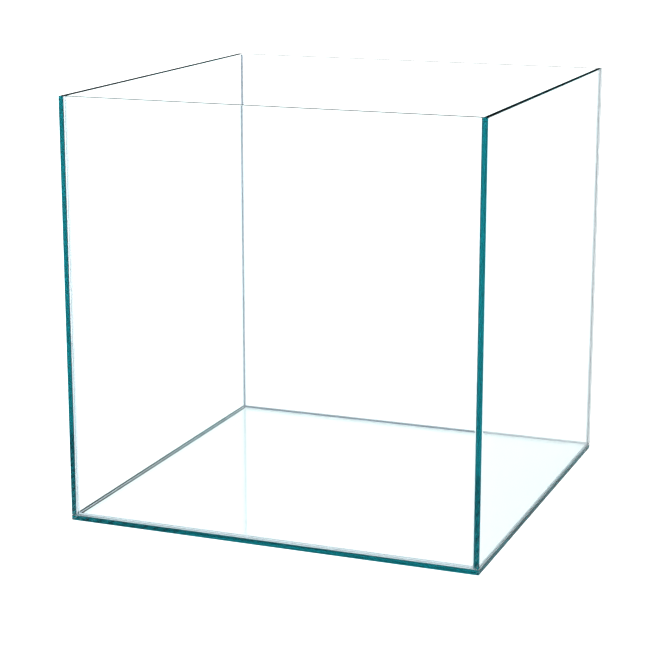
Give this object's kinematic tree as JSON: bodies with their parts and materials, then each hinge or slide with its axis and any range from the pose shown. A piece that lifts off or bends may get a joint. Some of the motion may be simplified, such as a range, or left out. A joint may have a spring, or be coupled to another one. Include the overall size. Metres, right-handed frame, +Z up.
{
  "type": "glass aquarium tank",
  "caption": "Open-topped rimless cube tank of clear glass panes, glued with clear silicone, that holds water, sand and plants.",
  "frame": {"origin": "centre of the underside of the base pane", "axes": "+Z up through the open top, +X to the right, -Y to the front"},
  "size_m": [0.5, 0.5, 0.5],
  "materials": {
    "glass": "clear float glass with polished edges",
    "silicone": "clear and smooth"
  },
  "bodies": {
    "root": {"base_pane": "glass", "left_pane": "glass", "right_pane": "glass", "front_pane": "glass", "back_pane": "glass", "left_base_bond": "silicone", "right_base_bond": "silicone", "front_base_bond": "silicone", "back_base_bond": "silicone", "front_left_bond": "silicone", "front_right_bond": "silicone", "back_left_bond": "silicone", "back_right_bond": "silicone", "left_base_bead": "silicone", "right_base_bead": "silicone", "front_base_bead": "silicone", "back_base_bead": "silicone", "front_left_bead": "silicone", "front_right_bead": "silicone", "back_left_bead": "silicone", "back_right_bead": "silicone"}
  },
  "joints": []
}
